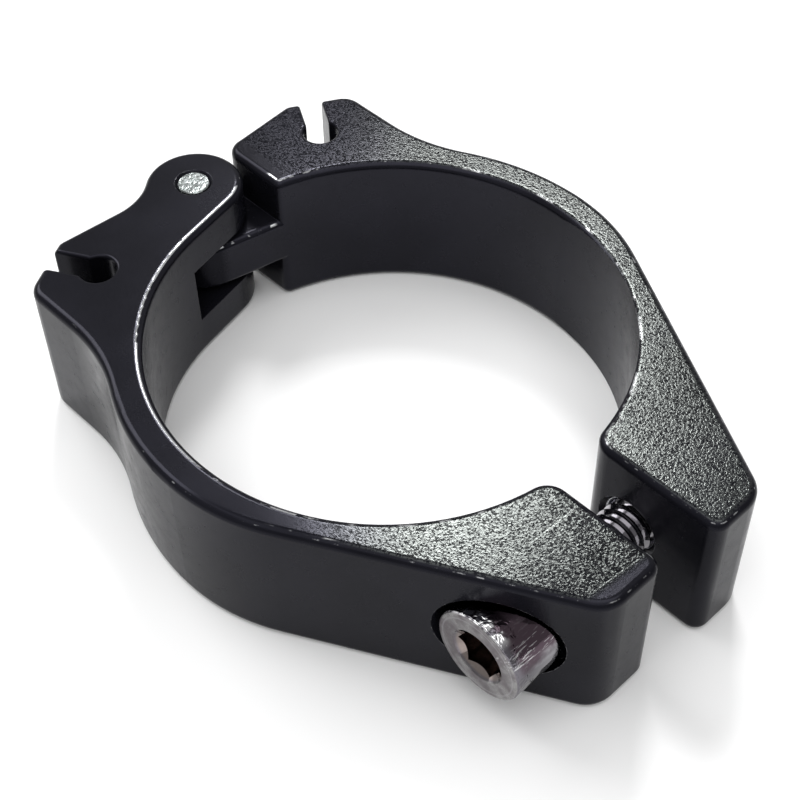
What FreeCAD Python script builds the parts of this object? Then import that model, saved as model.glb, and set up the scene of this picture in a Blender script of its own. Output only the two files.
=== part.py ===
"""Hinged two-jaw seatpost clamp with cable slots, closed by one socket head bolt.

Origin on the bore axis at mid height, +Z up along the bore, +X towards the bolt.
The hinge pin stands on the -X side. The bolt-side jaw fills y < 0, the thread-side
jaw fills y > 0. Both jaws have the same outline but for the lug's length. Millimetres, degrees.
"""
import FreeCAD, Part
import math
import os

import Sketcher

SIZES = {
    # Ring
    "bore_diameter": 42.0,
    "ring_wall": 3.2,
    "jaw_height": 14.5,
    "edge_round": 0.7,
    "bore_relief_depth": 0.4,
    "bore_relief_start": 6.0,
    "bore_relief_end": 88.0,
    # Lugs that the bolt pulls together, with their lengths beyond the bore
    "lug_gap": 5.1,
    "bolt_side_lug": 11.6,
    "thread_side_lug": 12.7,
    "lug_taper": 29.2,
    "shoulder_radius": 19.0,
    "lug_outer_round": 3.0,
    "lug_gap_round": 1.3,
    "bore_corner_round": 2.0,
    # Horns, with their length beyond the bore and the margins beside the cable slot
    "horn_length": 10.7,
    "horn_angle": 30.0,
    "horn_side_margin": 3.5,
    "horn_back_margin": 1.35,
    "horn_back_slant": 4.5,
    "horn_blend_radius": 17.0,
    "horn_side_round": 2.1,
    "horn_back_round": 1.1,
    "cable_hole_offset": 5.85,
    "cable_hole_diameter": 3.3,
    "cable_neck": 2.2,
    "cable_neck_round": 0.6,
    "cable_slot_edge_round": 0.3,
    # Hinge, with the knuckle's distances from the bore and from the other jaw
    "knuckle_margin": 0.6,
    "hinge_gap": 0.7,
    "pin_diameter": 3.0,
    "pin_recess": 0.05,
    "pin_end_chamfer": 0.08,
    "pin_hole_chamfer": 0.3,
    "pin_running_clearance": 0.05,
    "knuckle_radius": 4.6,
    "knuckle_blend_radius": 6.0,
    "hinge_back_round": 1.8,
    "hinge_bore_round": 0.75,
    "clevis_slot": 6.2,
    "tongue_clearance": 0.6,
    "tongue_edge_round": 0.6,
    "tongue_root": 2.0,
    # Bolt and its holes, with the bolt's distance from the bore
    "bolt_offset": 4.3,
    "bolt_seat_distance": 9.0,
    "bolt_backed_off": 1.2,
    "bolt_hole_diameter": 5.5,
    "counterbore_diameter": 9.5,
    "head_diameter": 8.5,
    "head_height": 5.0,
    "head_round": 0.25,
    "socket_across_flats": 4.0,
    "socket_depth": 2.8,
    "socket_mouth_diameter": 5.2,
    "bolt_length": 16.0,
    "thread_root_diameter": 4.1,
    "thread_hole_diameter": 5.0,
    "thread_countersink": 0.5,
    "bolt_tip_chamfer": 0.6,
}
PLACES = {
    "bore_radius": "bore_diameter / 2",
    "ring_radius": "bore_radius + ring_wall",
    "bolt_side_reach": "bore_radius + bolt_side_lug",
    "thread_side_reach": "bore_radius + thread_side_lug",
    "horn_end_distance": "bore_radius + horn_length",
    "horn_side_distance": "horn_end_distance * sin(horn_angle * 1 deg) + horn_side_margin",
    "horn_back_distance":
        "horn_end_distance * cos((horn_angle + horn_back_slant) * 1 deg) + horn_back_margin",
    "cable_hole_distance": "bore_radius + cable_hole_offset",
    "pin_distance": "bore_radius + knuckle_margin + knuckle_radius",
    "hinge_relief_distance": "knuckle_radius + hinge_gap",
    "tongue_height": "clevis_slot - 2 * tongue_clearance",
    "bolt_distance": "bore_radius + bolt_offset",
    "span": "4 * thread_side_reach",
}

doc = FreeCAD.newDocument("seatpost_clamp")
sheet = doc.addObject("Spreadsheet::Sheet", "sizes")
formulas = {alias: "=" + formula for alias, formula in PLACES.items()}
for row, (alias, content) in enumerate({**SIZES, **formulas}.items(), start=1):
    sheet.set(f"A{row}", alias)
    sheet.set(f"B{row}", str(content))
    sheet.setAlias(f"B{row}", alias)
doc.recompute()

SKETCH_ORIGIN = (-1, 1)
SKETCH_X_AXIS = -1
START = 1
END = 2
CENTRE = 3
SPAN = "sizes.span"
CLOSE = 1e-4


def degrees(expression):
    return f"({expression}) * 1 deg"


def polar(radius, angle):
    turn = math.radians(angle)
    return FreeCAD.Vector(radius * math.cos(turn), radius * math.sin(turn), 0)


def new_body(label):
    body = doc.addObject("PartDesign::Body", label)
    body.Label = label
    return body


def new_sketch(body, name, plane, offset=None, turned=None):
    """A sketch on one of the body's origin planes, moved along its normal or turned about it."""
    sketch = body.newObject("Sketcher::SketchObject", name)
    planes = {feature.Role: feature for feature in body.Origin.OriginFeatures}
    sketch.AttachmentSupport = (planes[plane], [""])
    sketch.MapMode = "FlatFace"
    sketch.AttachmentOffset = FreeCAD.Placement(
        FreeCAD.Vector(), FreeCAD.Rotation(FreeCAD.Vector(0, 0, 1), 0))
    if offset:
        sketch.setExpression("AttachmentOffset.Base.z", offset)
    if turned:
        sketch.setExpression("AttachmentOffset.Rotation.Angle", degrees(turned))
    return sketch


def dimension(sketch, kind, references, name, expression):
    """Adds a named dimension and binds it to the sheet."""
    value = sketch.evalExpression(expression)
    if kind == "Angle":
        value = value.getValueAs("rad")
    index = sketch.addConstraint(Sketcher.Constraint(kind, *references, float(value)))
    sketch.renameConstraint(index, name)
    sketch.setExpression("Constraints." + name, expression)


class Chain:
    """A closed run of lines and arcs in a sketch, each tangent to the next unless it is a corner."""

    def __init__(self, sketch):
        self.sketch = sketch
        self.pieces = []

    def line(self, start, end):
        index = self.sketch.addGeometry(Part.LineSegment(start, end))
        self.pieces.append((index, START, END))
        return index

    def arc(self, centre, radius, from_angle, to_angle):
        circle = Part.Circle(centre, FreeCAD.Vector(0, 0, 1), radius)
        low, high = sorted((math.radians(from_angle), math.radians(to_angle)))
        index = self.sketch.addGeometry(Part.ArcOfCircle(circle, low, high))
        ends = (START, END) if to_angle > from_angle else (END, START)
        self.pieces.append((index, *ends))
        return index

    def close(self, joint="Tangent"):
        following = self.pieces[1:] + self.pieces[:1]
        for (index, _, end), (next_index, start, _) in zip(self.pieces, following):
            self.sketch.addConstraint(Sketcher.Constraint(joint, index, end, next_index, start))


def circle(sketch, diameter, along_x=None):
    """A circle on the sketch's X axis, at its origin unless a distance is given."""
    place = float(sketch.evalExpression(along_x)) if along_x else 0.0
    radius = float(sketch.evalExpression(diameter)) / 2
    index = sketch.addGeometry(
        Part.Circle(FreeCAD.Vector(place, 0, 0), FreeCAD.Vector(0, 0, 1), radius))
    dimension(sketch, "Diameter", (index,), "diameter", diameter)
    if along_x:
        sketch.addConstraint(Sketcher.Constraint("PointOnObject", index, CENTRE, SKETCH_X_AXIS))
        dimension(sketch, "DistanceX", (*SKETCH_ORIGIN, index, CENTRE), "along_x", along_x)
    else:
        sketch.addConstraint(Sketcher.Constraint("Coincident", index, CENTRE, *SKETCH_ORIGIN))


def extrude(body, kind, name, sketch, length, side="One side", reverse=False):
    """A Pad or a Pocket of the sketch, with the volume it changes checked to be real."""
    doc.recompute()
    before = body.Shape.Volume if body.Tip else 0.0
    feature = body.newObject("PartDesign::" + kind, name)
    feature.Profile = sketch
    feature.SideType = side
    feature.Reversed = reverse
    feature.setExpression("Length", length)
    doc.recompute()
    if math.isclose(body.Shape.Volume, before):
        raise RuntimeError(f"{body.Label}: {name} changes nothing")
    return feature


def dress(body, kind, name, size, names):
    """A Fillet or a Chamfer on the named edges or faces of the body's last feature."""
    base = body.Tip
    feature = body.newObject("PartDesign::" + kind, name)
    feature.Base = (base, names)
    feature.setExpression("Radius" if kind == "Fillet" else "Size", size)
    doc.recompute()
    if "Invalid" in feature.State or not feature.Shape.isValid():
        raise RuntimeError(f"{body.Label}: {name} fails on {names}")
    return feature


def cone(body, name, start_radius, end_radius, depth):
    """A conical cut along Z, to be moved to its place."""
    feature = body.newObject("PartDesign::SubtractiveCone", name)
    feature.setExpression("Radius1", start_radius)
    feature.setExpression("Radius2", end_radius)
    feature.setExpression("Height", depth)
    return feature


def faces_at(body, height):
    """Names of the flat level faces at a height."""
    names = []
    for number, face in enumerate(body.Tip.Shape.Faces, start=1):
        box = face.BoundBox
        if box.ZLength < CLOSE and math.isclose(box.ZMin, height, abs_tol=CLOSE):
            names.append(f"Face{number}")
    return names


def edges_where(body, chosen):
    return [f"Edge{number}" for number, edge in enumerate(body.Tip.Shape.Edges, start=1)
            if chosen(edge)]


def is_rim(edge, radius):
    return edge.isClosed() and math.isclose(edge.Length, 2 * math.pi * radius, abs_tol=CLOSE)


def jaw_outline(body, reach):
    """The outline of either jaw, drawn clockwise on the y < 0 side from the bore corner.

    The reach is the expression for the distance of the lug's end from the bore axis.
    """
    bore = sheet.bore_radius
    ring = sheet.ring_radius
    lug_end = float(sheet.evalExpression(reach))
    half_gap = sheet.lug_gap / 2
    pin = FreeCAD.Vector(-sheet.pin_distance, 0, 0)
    knuckle = sheet.knuckle_radius
    horn_turn = 180 + sheet.horn_angle
    back_turn = 180 - sheet.horn_back_slant
    lug_turn = sheet.lug_taper - 90

    # Bore corner: outside the bore circle and below the gap face
    corner = sheet.bore_corner_round
    corner_angle = math.degrees(math.asin((half_gap + corner) / (bore + corner)))
    corner_centre = polar(bore + corner, -corner_angle)

    # Lug: gap face, end face and tapered outer face, which runs into the shoulder
    gap_round = sheet.lug_gap_round
    gap_centre = FreeCAD.Vector(lug_end - gap_round, -half_gap - gap_round, 0)
    shoulder = sheet.shoulder_radius
    shoulder_centre = FreeCAD.Vector(0, shoulder - ring, 0)
    lug_normal = polar(1, lug_turn)
    lug_line = lug_normal.dot(shoulder_centre) + shoulder
    outer_round = sheet.lug_outer_round
    outer_x = lug_end - outer_round
    outer_y = (lug_line - outer_round - lug_normal.x * outer_x) / lug_normal.y
    outer_centre = FreeCAD.Vector(outer_x, outer_y, 0)

    # Horn: hollow blend off the ring, side face, end face square to the slot, slanted back
    blend = sheet.horn_blend_radius
    blend_drop = sheet.horn_side_distance + blend
    blend_centre = FreeCAD.Vector(-math.sqrt((ring + blend) ** 2 - blend_drop ** 2), -blend_drop, 0)
    blend_angle = math.degrees(math.atan2(blend_centre.y, blend_centre.x))
    horn_normal = polar(1, horn_turn)
    back_normal = polar(1, back_turn)
    side_round = sheet.horn_side_round
    side_y = side_round - sheet.horn_side_distance
    side_x = (sheet.horn_end_distance - side_round - horn_normal.y * side_y) / horn_normal.x
    side_centre = FreeCAD.Vector(side_x, side_y, 0)
    back_round = sheet.horn_back_round
    end_inset = sheet.horn_end_distance - back_round
    back_inset = sheet.horn_back_distance - back_round
    crossing = horn_normal.x * back_normal.y - horn_normal.y * back_normal.x
    back_centre = FreeCAD.Vector(
        (end_inset * back_normal.y - back_inset * horn_normal.y) / crossing,
        (back_inset * horn_normal.x - end_inset * back_normal.x) / crossing, 0)

    # Knuckle: hollow blend off the horn's back, round end, straight neck tangent to the bore
    hollow = sheet.knuckle_blend_radius
    hollow_reach = hollow + knuckle
    hollow_cosine = (-back_normal.dot(pin) + sheet.horn_back_distance + hollow) / hollow_reach
    hollow_angle = back_turn + math.degrees(math.acos(hollow_cosine))
    hollow_centre = pin + polar(hollow_reach, hollow_angle)
    neck_angle = math.degrees(math.acos((bore + knuckle) / sheet.pin_distance))

    sketch = new_sketch(body, "Outline", "XY_Plane")
    chain = Chain(sketch)
    origin = FreeCAD.Vector()
    gap_face = chain.line(corner_centre + polar(corner, 90), gap_centre + polar(gap_round, 90))
    gap_arc = chain.arc(gap_centre, gap_round, 90, 0)
    end_face = chain.line(gap_centre + polar(gap_round, 0), outer_centre + polar(outer_round, 0))
    outer_arc = chain.arc(outer_centre, outer_round, 0, lug_turn)
    lug_face = chain.line(outer_centre + lug_normal * outer_round, shoulder_centre + lug_normal * shoulder)
    shoulder_arc = chain.arc(shoulder_centre, shoulder, lug_turn, -90)
    ring_arc = chain.arc(origin, ring, -90, blend_angle)
    blend_arc = chain.arc(blend_centre, blend, blend_angle + 180, 90)
    side_face = chain.line(blend_centre + polar(blend, 90), side_centre + polar(side_round, -90))
    side_arc = chain.arc(side_centre, side_round, -90, horn_turn - 360)
    horn_face = chain.line(side_centre + horn_normal * side_round, back_centre + horn_normal * back_round)
    back_arc = chain.arc(back_centre, back_round, horn_turn, back_turn)
    back_face = chain.line(back_centre + back_normal * back_round, hollow_centre - back_normal * hollow)
    hollow_arc = chain.arc(hollow_centre, hollow, back_turn - 180, hollow_angle - 180)
    knuckle_arc = chain.arc(pin, knuckle, hollow_angle, neck_angle)
    chain.line(pin + polar(knuckle, neck_angle), polar(bore, 180 + neck_angle))
    bore_arc = chain.arc(origin, bore, 180 + neck_angle, 360 - corner_angle)
    corner_arc = chain.arc(corner_centre, corner, 180 - corner_angle, 90)
    chain.close()

    for face in (gap_face, side_face):
        sketch.addConstraint(Sketcher.Constraint("Horizontal", face))
    sketch.addConstraint(Sketcher.Constraint("Vertical", end_face))
    for arc in (ring_arc, bore_arc):
        sketch.addConstraint(Sketcher.Constraint("Coincident", arc, CENTRE, *SKETCH_ORIGIN))
    sketch.addConstraint(Sketcher.Constraint("PointOnObject", knuckle_arc, CENTRE, SKETCH_X_AXIS))
    sketch.addConstraint(Sketcher.Constraint("PointOnObject", shoulder_arc, CENTRE, -2))
    radii = {
        "gap_round": (gap_arc, "sizes.lug_gap_round"),
        "outer_round": (outer_arc, "sizes.lug_outer_round"),
        "shoulder": (shoulder_arc, "sizes.shoulder_radius"),
        "ring": (ring_arc, "sizes.ring_radius"),
        "horn_blend": (blend_arc, "sizes.horn_blend_radius"),
        "side_round": (side_arc, "sizes.horn_side_round"),
        "back_round": (back_arc, "sizes.horn_back_round"),
        "knuckle_blend": (hollow_arc, "sizes.knuckle_blend_radius"),
        "knuckle": (knuckle_arc, "sizes.knuckle_radius"),
        "bore": (bore_arc, "sizes.bore_radius"),
        "corner_round": (corner_arc, "sizes.bore_corner_round"),
    }
    for name, (arc, expression) in radii.items():
        dimension(sketch, "Radius", (arc,), name, expression)
    dimension(sketch, "DistanceY", (gap_face, START, *SKETCH_ORIGIN), "half_gap", "sizes.lug_gap / 2")
    dimension(sketch, "DistanceX", (*SKETCH_ORIGIN, end_face, START), "reach", reach)
    dimension(sketch, "Angle", (lug_face,), "taper", degrees("sizes.lug_taper - 180"))
    dimension(sketch, "DistanceY", (side_face, START, *SKETCH_ORIGIN), "side", "sizes.horn_side_distance")
    dimension(sketch, "Angle", (horn_face,), "horn_turn", degrees("90 + sizes.horn_angle"))
    dimension(sketch, "Distance", (*SKETCH_ORIGIN, horn_face), "horn_end", "sizes.horn_end_distance")
    dimension(sketch, "Angle", (back_face,), "back_turn", degrees("90 - sizes.horn_back_slant"))
    dimension(sketch, "Distance", (*SKETCH_ORIGIN, back_face), "horn_back", "sizes.horn_back_distance")
    dimension(sketch, "DistanceX", (knuckle_arc, CENTRE, *SKETCH_ORIGIN), "pin", "sizes.pin_distance")
    return sketch


def in_cable_slot(face):
    """Whether a face is one of the cable slot's walls."""
    middle = face.CenterOfMass
    along = middle.dot(polar(1, 180 + sheet.horn_angle))
    across = middle.dot(polar(1, 90 + sheet.horn_angle))
    radius = sheet.cable_hole_diameter / 2
    deep = sheet.cable_hole_distance - radius < along < sheet.horn_end_distance - CLOSE
    return deep and abs(across) < radius and abs(middle.z) < CLOSE


def slot_edges(body, walls):
    """Names of the edges that border as many of the cable slot's walls as asked for."""
    sides = [side for face in body.Tip.Shape.Faces if in_cable_slot(face) for side in face.Edges]
    return edges_where(body, lambda edge: sum(map(edge.isSame, sides)) == walls)


def round_cable_slot(body):
    """Rounds the upright corners where the neck opens into the hole, then the rims of all the walls."""
    dress(body, "Fillet", "CableNeckRound", "sizes.cable_neck_round", slot_edges(body, 2))
    dress(body, "Fillet", "CableSlotRound", "sizes.cable_slot_edge_round", slot_edges(body, 1))


def cable_slot(body):
    """Keyhole slot for a cable, open at the horn's end, along the sketch's X axis."""
    sketch = new_sketch(body, "CableSlot", "XY_Plane", turned="180 + sizes.horn_angle")
    centre = FreeCAD.Vector(sheet.cable_hole_distance, 0, 0)
    radius = sheet.cable_hole_diameter / 2
    half_neck = sheet.cable_neck / 2
    mouth = "sizes.horn_end_distance + sizes.cable_hole_diameter"
    mouth_x = float(sketch.evalExpression(mouth))
    neck_angle = math.degrees(math.asin(half_neck / radius))
    neck_x = centre.x + radius * math.cos(math.radians(neck_angle))
    chain = Chain(sketch)
    round_end = chain.arc(centre, radius, neck_angle, 360 - neck_angle)
    lower = chain.line(FreeCAD.Vector(neck_x, -half_neck, 0), FreeCAD.Vector(mouth_x, -half_neck, 0))
    across = chain.line(FreeCAD.Vector(mouth_x, -half_neck, 0), FreeCAD.Vector(mouth_x, half_neck, 0))
    upper = chain.line(FreeCAD.Vector(mouth_x, half_neck, 0), FreeCAD.Vector(neck_x, half_neck, 0))
    chain.close("Coincident")
    for side in (lower, upper):
        sketch.addConstraint(Sketcher.Constraint("Horizontal", side))
    sketch.addConstraint(Sketcher.Constraint("PointOnObject", round_end, CENTRE, SKETCH_X_AXIS))
    sketch.addConstraint(Sketcher.Constraint("Symmetric", across, START, across, END, SKETCH_X_AXIS))
    dimension(sketch, "Radius", (round_end,), "hole", "sizes.cable_hole_diameter / 2")
    dimension(sketch, "DistanceX", (*SKETCH_ORIGIN, round_end, CENTRE), "reach", "sizes.cable_hole_distance")
    dimension(sketch, "DistanceY", (across, START, across, END), "neck", "sizes.cable_neck")
    dimension(sketch, "DistanceX", (*SKETCH_ORIGIN, across, START), "mouth", mouth)
    extrude(body, "Pocket", "CableSlotCut", sketch, SPAN, "Symmetric")
    round_cable_slot(body)


def corner_cut(body, name, corners):
    """A sketch of a closed run of level and upright lines, level first, each corner on its own sizes."""
    sketch = new_sketch(body, name, "XY_Plane")
    points = [FreeCAD.Vector(*(float(sketch.evalExpression(place)) for place in corner), 0)
              for corner in corners]
    chain = Chain(sketch)
    sides = [chain.line(start, end) for start, end in zip(points, points[1:] + points[:1])]
    chain.close("Coincident")
    for number, side in enumerate(sides):
        level = number % 2 == 0
        sketch.addConstraint(Sketcher.Constraint("Horizontal" if level else "Vertical", side))
        kind, place = ("DistanceY", corners[number][1]) if level else ("DistanceX", corners[number][0])
        dimension(sketch, kind, (*SKETCH_ORIGIN, side, START), f"side_{number}", place)
    return sketch


def hinge_relief(body, name):
    """The stretch about the pin where one jaw makes room for the other's knuckle."""
    left = "-(sizes.pin_distance + 3 * sizes.knuckle_radius)"
    right = "-(sizes.bore_radius - sizes.knuckle_radius)"
    near = "-sizes.hinge_relief_distance"
    far = "3 * sizes.knuckle_radius"
    return corner_cut(body, name, ((left, near), (right, near), (right, far), (left, far)))


def start_jaw(label, reach):
    """A jaw as it leaves the saw: its outline at full height."""
    body = new_body(label)
    extrude(body, "Pad", "Extrusion", jaw_outline(body, reach), "sizes.jaw_height", "Symmetric")
    return body


def round_level_edges(body, height, size):
    """Rounds every edge of the top and bottom faces."""
    half = height / 2
    dress(body, "Fillet", "EdgeRound", size, faces_at(body, half) + faces_at(body, -half))


def drill_pin_hole(body, diameter):
    sketch = new_sketch(body, "PinHole", "XY_Plane")
    circle(sketch, diameter, "-sizes.pin_distance")
    extrude(body, "Pocket", "PinHoleCut", sketch, SPAN, "Symmetric")


def drill_bolt_hole(body, diameter):
    sketch = new_sketch(body, "BoltHole", "XZ_Plane")
    circle(sketch, diameter, "sizes.bolt_distance")
    extrude(body, "Pocket", "BoltHoleCut", sketch, SPAN, "Symmetric")


def bolt_side_jaw():
    """Clevis jaw: two ears hold the pin, and the lug has the bolt's counterbore."""
    body = start_jaw("bolt_side_jaw", "sizes.bolt_side_reach")
    round_level_edges(body, sheet.jaw_height, "sizes.edge_round")
    cable_slot(body)
    slot = hinge_relief(body, "ClevisSlot")
    extrude(body, "Pocket", "ClevisSlotCut", slot, "sizes.clevis_slot", "Symmetric")
    drill_pin_hole(body, "sizes.pin_diameter")
    half = sheet.jaw_height / 2
    rims = edges_where(body, lambda edge: is_rim(edge, sheet.pin_diameter / 2)
                       and math.isclose(abs(edge.CenterOfMass.z), half, abs_tol=CLOSE))
    dress(body, "Chamfer", "PinHoleChamfer", "sizes.pin_hole_chamfer", rims)
    drill_bolt_hole(body, "sizes.bolt_hole_diameter")
    sketch = new_sketch(body, "Counterbore", "XZ_Plane", offset="sizes.bolt_seat_distance")
    circle(sketch, "sizes.counterbore_diameter", "sizes.bolt_distance")
    extrude(body, "Pocket", "CounterboreCut", sketch, SPAN, reverse=True)
    return body


def relief_corner_distance(edge):
    """Distance along X of an upright edge on the relief plane, or 0 for other edges."""
    box = edge.BoundBox
    on_plane = math.isclose(box.YMin, -sheet.hinge_relief_distance, abs_tol=CLOSE)
    upright = box.XLength < CLOSE and box.YLength < CLOSE
    return -box.XMin if upright and on_plane else 0.0


def tongue():
    """The tongue with its root: the jaw's outline at the tongue's height, rounded, then cut off."""
    body = new_body("tongue")
    outline = jaw_outline(body, "sizes.thread_side_reach")
    extrude(body, "Pad", "TongueExtrusion", outline, "sizes.tongue_height", "Symmetric")
    round_level_edges(body, sheet.tongue_height, "sizes.tongue_edge_round")
    root = "-(sizes.hinge_relief_distance + sizes.tongue_root)"
    side = "-(sizes.bore_radius - sizes.knuckle_radius)"
    rest = corner_cut(body, "Rest", (("-sizes.span", root), (side, root), (side, "sizes.span"),
                                     ("sizes.span", "sizes.span"), ("sizes.span", "-sizes.span"),
                                     ("-sizes.span", "-sizes.span")))
    extrude(body, "Pocket", "RestCut", rest, SPAN, "Symmetric")
    return body


def relieve_bore(body):
    """Shallow hollow in the bore's wall beside the lug, along an arc that meets the bore at both ends."""
    middle = "-(sizes.bore_relief_start + sizes.bore_relief_end) / 2"
    half_turn = "((sizes.bore_relief_end - sizes.bore_relief_start) / 2 * 1 deg)"
    shift = f"sizes.bore_relief_depth / (1 - cos{half_turn})"
    sketch = new_sketch(body, "BoreRelief", "XY_Plane", turned=middle)
    circle(sketch, f"2 * (sizes.bore_radius + sizes.bore_relief_depth - {shift})", shift)
    extrude(body, "Pocket", "BoreReliefCut", sketch, SPAN, "Symmetric")


def thread_side_jaw():
    """Tongue jaw, modelled on the y < 0 side and turned over about X into place."""
    root = tongue()
    body = start_jaw("thread_side_jaw", "sizes.thread_side_reach")
    extrude(body, "Pocket", "HingeEndCut", hinge_relief(body, "HingeEnd"), SPAN, "Symmetric")
    back_corners = edges_where(body, lambda edge: relief_corner_distance(edge) > sheet.pin_distance)
    dress(body, "Fillet", "HingeBackRound", "sizes.hinge_back_round", back_corners)
    bore_corners = edges_where(body, lambda edge: 0 < relief_corner_distance(edge) < sheet.pin_distance)
    dress(body, "Fillet", "HingeBoreRound", "sizes.hinge_bore_round", bore_corners)
    round_level_edges(body, sheet.jaw_height, "sizes.edge_round")
    relieve_bore(body)
    joined = body.newObject("PartDesign::Boolean", "TongueJoint")
    joined.setObjects([root])
    joined.Type = "Fuse"
    doc.recompute()
    cable_slot(body)
    drill_pin_hole(body, "sizes.pin_diameter + 2 * sizes.pin_running_clearance")
    drill_bolt_hole(body, "sizes.thread_hole_diameter")
    mouth = cone(body, "ThreadCountersink", "sizes.thread_hole_diameter / 2 + sizes.thread_countersink",
                 "sizes.thread_hole_diameter / 2", "sizes.thread_countersink")
    mouth.Placement.Rotation = FreeCAD.Rotation(FreeCAD.Vector(1, 0, 0), 90)
    mouth.setExpression("Placement.Base.x", "sizes.bolt_distance")
    mouth.setExpression("Placement.Base.y", "-sizes.lug_gap / 2")
    body.Placement.Rotation = FreeCAD.Rotation(FreeCAD.Vector(1, 0, 0), 180)
    return body


def hinge_pin():
    """Straight pin pressed into the two ears, its ends just under their faces."""
    body = new_body("hinge_pin")
    sketch = new_sketch(body, "Section", "XY_Plane")
    circle(sketch, "sizes.pin_diameter")
    extrude(body, "Pad", "Shank", sketch, "sizes.jaw_height - 2 * sizes.pin_recess", "Symmetric")
    rims = edges_where(body, lambda edge: is_rim(edge, sheet.pin_diameter / 2))
    dress(body, "Chamfer", "EndChamfer", "sizes.pin_end_chamfer", rims)
    body.setExpression("Placement.Base.x", "-sizes.pin_distance")
    return body


def hexagon(sketch, across_flats):
    """A regular hexagon about the sketch's origin, two of its sides level."""
    radius = f"{across_flats} / 2 / cos(30 deg)"
    corner_radius = float(sketch.evalExpression(radius))
    guide = sketch.addGeometry(
        Part.Circle(FreeCAD.Vector(), FreeCAD.Vector(0, 0, 1), corner_radius), True)
    sketch.addConstraint(Sketcher.Constraint("Coincident", guide, CENTRE, *SKETCH_ORIGIN))
    chain = Chain(sketch)
    corners = [polar(corner_radius, 60 * i) for i in range(6)]
    sides = [chain.line(corners[i], corners[(i + 1) % 6]) for i in range(6)]
    chain.close("Coincident")
    for side in sides:
        sketch.addConstraint(Sketcher.Constraint("PointOnObject", side, START, guide))
    for side in sides[1:]:
        sketch.addConstraint(Sketcher.Constraint("Equal", sides[0], side))
    sketch.addConstraint(Sketcher.Constraint("Horizontal", sides[1]))
    dimension(sketch, "Radius", (guide,), "corner_radius", radius)


def clamp_bolt():
    """Socket head bolt along its own Z axis, head up, its seat at z = 0."""
    body = new_body("clamp_bolt")
    head = new_sketch(body, "HeadSection", "XY_Plane")
    circle(head, "sizes.head_diameter")
    extrude(body, "Pad", "Head", head, "sizes.head_height")
    top_rim = edges_where(body, lambda edge: is_rim(edge, sheet.head_diameter / 2)
                          and edge.CenterOfMass.z > sheet.head_height / 2)
    dress(body, "Fillet", "HeadRound", "sizes.head_round", top_rim)
    shank = new_sketch(body, "ShankSection", "XY_Plane")
    circle(shank, "sizes.thread_root_diameter")
    extrude(body, "Pad", "Shank", shank, "sizes.bolt_length", reverse=True)
    tip_rim = edges_where(body, lambda edge: is_rim(edge, sheet.thread_root_diameter / 2)
                          and edge.CenterOfMass.z < -sheet.bolt_length / 2)
    dress(body, "Chamfer", "TipChamfer", "sizes.bolt_tip_chamfer", tip_rim)
    socket = new_sketch(body, "Socket", "XY_Plane", offset="sizes.head_height")
    hexagon(socket, "sizes.socket_across_flats")
    extrude(body, "Pocket", "SocketCut", socket, "sizes.socket_depth")
    mouth_depth = "(sizes.socket_mouth_diameter - sizes.socket_across_flats) / 2"
    mouth = cone(body, "SocketMouth", "sizes.socket_across_flats / 2", "sizes.socket_mouth_diameter / 2",
                 mouth_depth)
    mouth.setExpression("Placement.Base.z", f"sizes.head_height - {mouth_depth}")
    body.Placement.Rotation = FreeCAD.Rotation(FreeCAD.Vector(1, 0, 0), 90)
    body.setExpression("Placement.Base.x", "sizes.bolt_distance")
    body.setExpression("Placement.Base.y", "-(sizes.bolt_seat_distance + sizes.bolt_backed_off)")
    return body


def main():
    bodies = [bolt_side_jaw(), thread_side_jaw(), hinge_pin(), clamp_bolt()]
    doc.recompute()
    for item in doc.Objects:
        if "Invalid" in item.State or "Error" in item.State:
            raise RuntimeError(f"{item.Label} failed: {item.State}")
    for body in bodies:
        if body.Shape.isNull() or not body.Shape.isValid() or len(body.Shape.Solids) != 1:
            raise RuntimeError(f"{body.Label} is not one valid solid")
    os.makedirs("parts", exist_ok=True)
    for body in bodies:
        body.Shape.exportStep(os.path.join("parts", body.Label + ".step"))
        box = body.Shape.BoundBox
        print(f"{body.Label}: {body.Shape.Volume:.1f} mm3, x {box.XMin:.2f} to {box.XMax:.2f},"
              f" y {box.YMin:.2f} to {box.YMax:.2f}, z {box.ZMin:.2f} to {box.ZMax:.2f}")


main()
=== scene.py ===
"""Dresses a hinged seatpost clamp: coated jaws, a scratched pin, a plated bolt with its thread, a studio."""
import math

import bmesh
import bpy
from bpy.props import FloatProperty, FloatVectorProperty, IntProperty, PointerProperty
from mathutils import Matrix, Vector


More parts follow.
